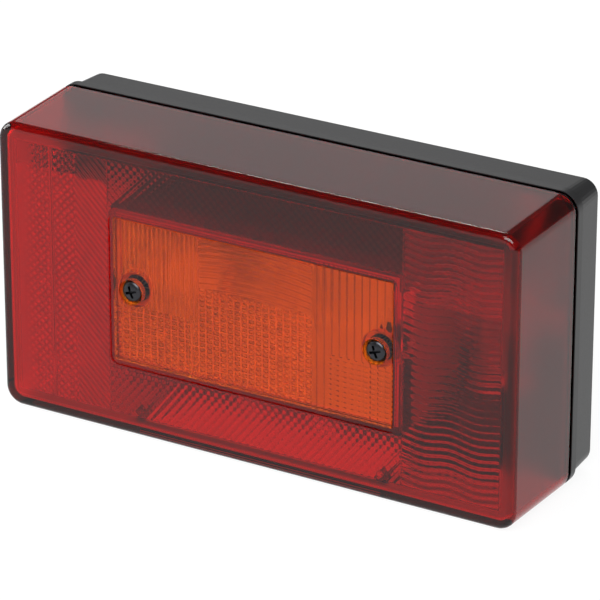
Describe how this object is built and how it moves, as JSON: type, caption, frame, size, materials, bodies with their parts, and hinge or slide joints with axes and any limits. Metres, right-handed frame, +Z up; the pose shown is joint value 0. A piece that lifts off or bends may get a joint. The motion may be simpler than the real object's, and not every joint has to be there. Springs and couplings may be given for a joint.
{
  "type": "tail light cluster",
  "caption": "Rectangular rear lamp with a red box-shaped lens, an amber indicator window held by two screws and a black base with rear studs.",
  "frame": {"origin": "centre of the flat mounting face at the back of the base", "axes": "+X along the width to the viewer's right, -Y the way the lens faces, +Z up"},
  "size_m": [0.19, 0.073, 0.101],
  "materials": {
    "red_plastic": "clear red lens plastic, polished outside, prisms inside",
    "amber_plastic": "clear amber lens plastic, flutes and pillows inside",
    "clear_plastic": "clear lens plastic",
    "seal_rubber": "matt black rubber",
    "base_plastic": "moulded black plastic, satin",
    "black_steel": "blackened steel, satin",
    "bright_reflector": "metallised plastic",
    "bulb_glass": "clear glass",
    "cap_metal": "plated brass",
    "filament_wire": "drawn wire",
    "socket_plastic": "moulded black plastic, matt",
    "pale_plastic": "moulded pale plastic, matt",
    "contact_metal": "stamped brass",
    "zinc_steel": "bright zinc plate"
  },
  "bodies": {
    "root": {"red_lens": "red_plastic", "amber_window": "amber_plastic", "plate_window": "clear_plastic", "lens_seal": "seal_rubber", "base_housing": "base_plastic", "lens_screw_left": "black_steel", "lens_screw_right": "black_steel", "screw_washer_left": "seal_rubber", "screw_washer_right": "seal_rubber", "indicator_reflector": "bright_reflector", "tail_reflector": "bright_reflector", "indicator_bulb_glass": "bulb_glass", "indicator_bulb_cap": "cap_metal", "indicator_filament": "filament_wire", "indicator_socket": "pale_plastic", "tail_bulb_glass": "bulb_glass", "tail_bulb_cap": "cap_metal", "tail_filament": "filament_wire", "tail_socket": "pale_plastic", "fog_bulb_glass": "bulb_glass", "fog_bulb_cap": "cap_metal", "fog_filament": "filament_wire", "fog_socket": "socket_plastic", "plate_bulb_glass": "bulb_glass", "plate_bulb_caps": "cap_metal", "plate_bulb_clip_left": "contact_metal", "plate_bulb_clip_right": "contact_metal", "terminal_block": "socket_plastic", "terminal_screws": "contact_metal", "earth_strip": "contact_metal", "socket_rivets": "zinc_steel", "cable_grommet": "seal_rubber", "mounting_stud_left": "zinc_steel", "mounting_stud_right": "zinc_steel"}
  },
  "joints": []
}
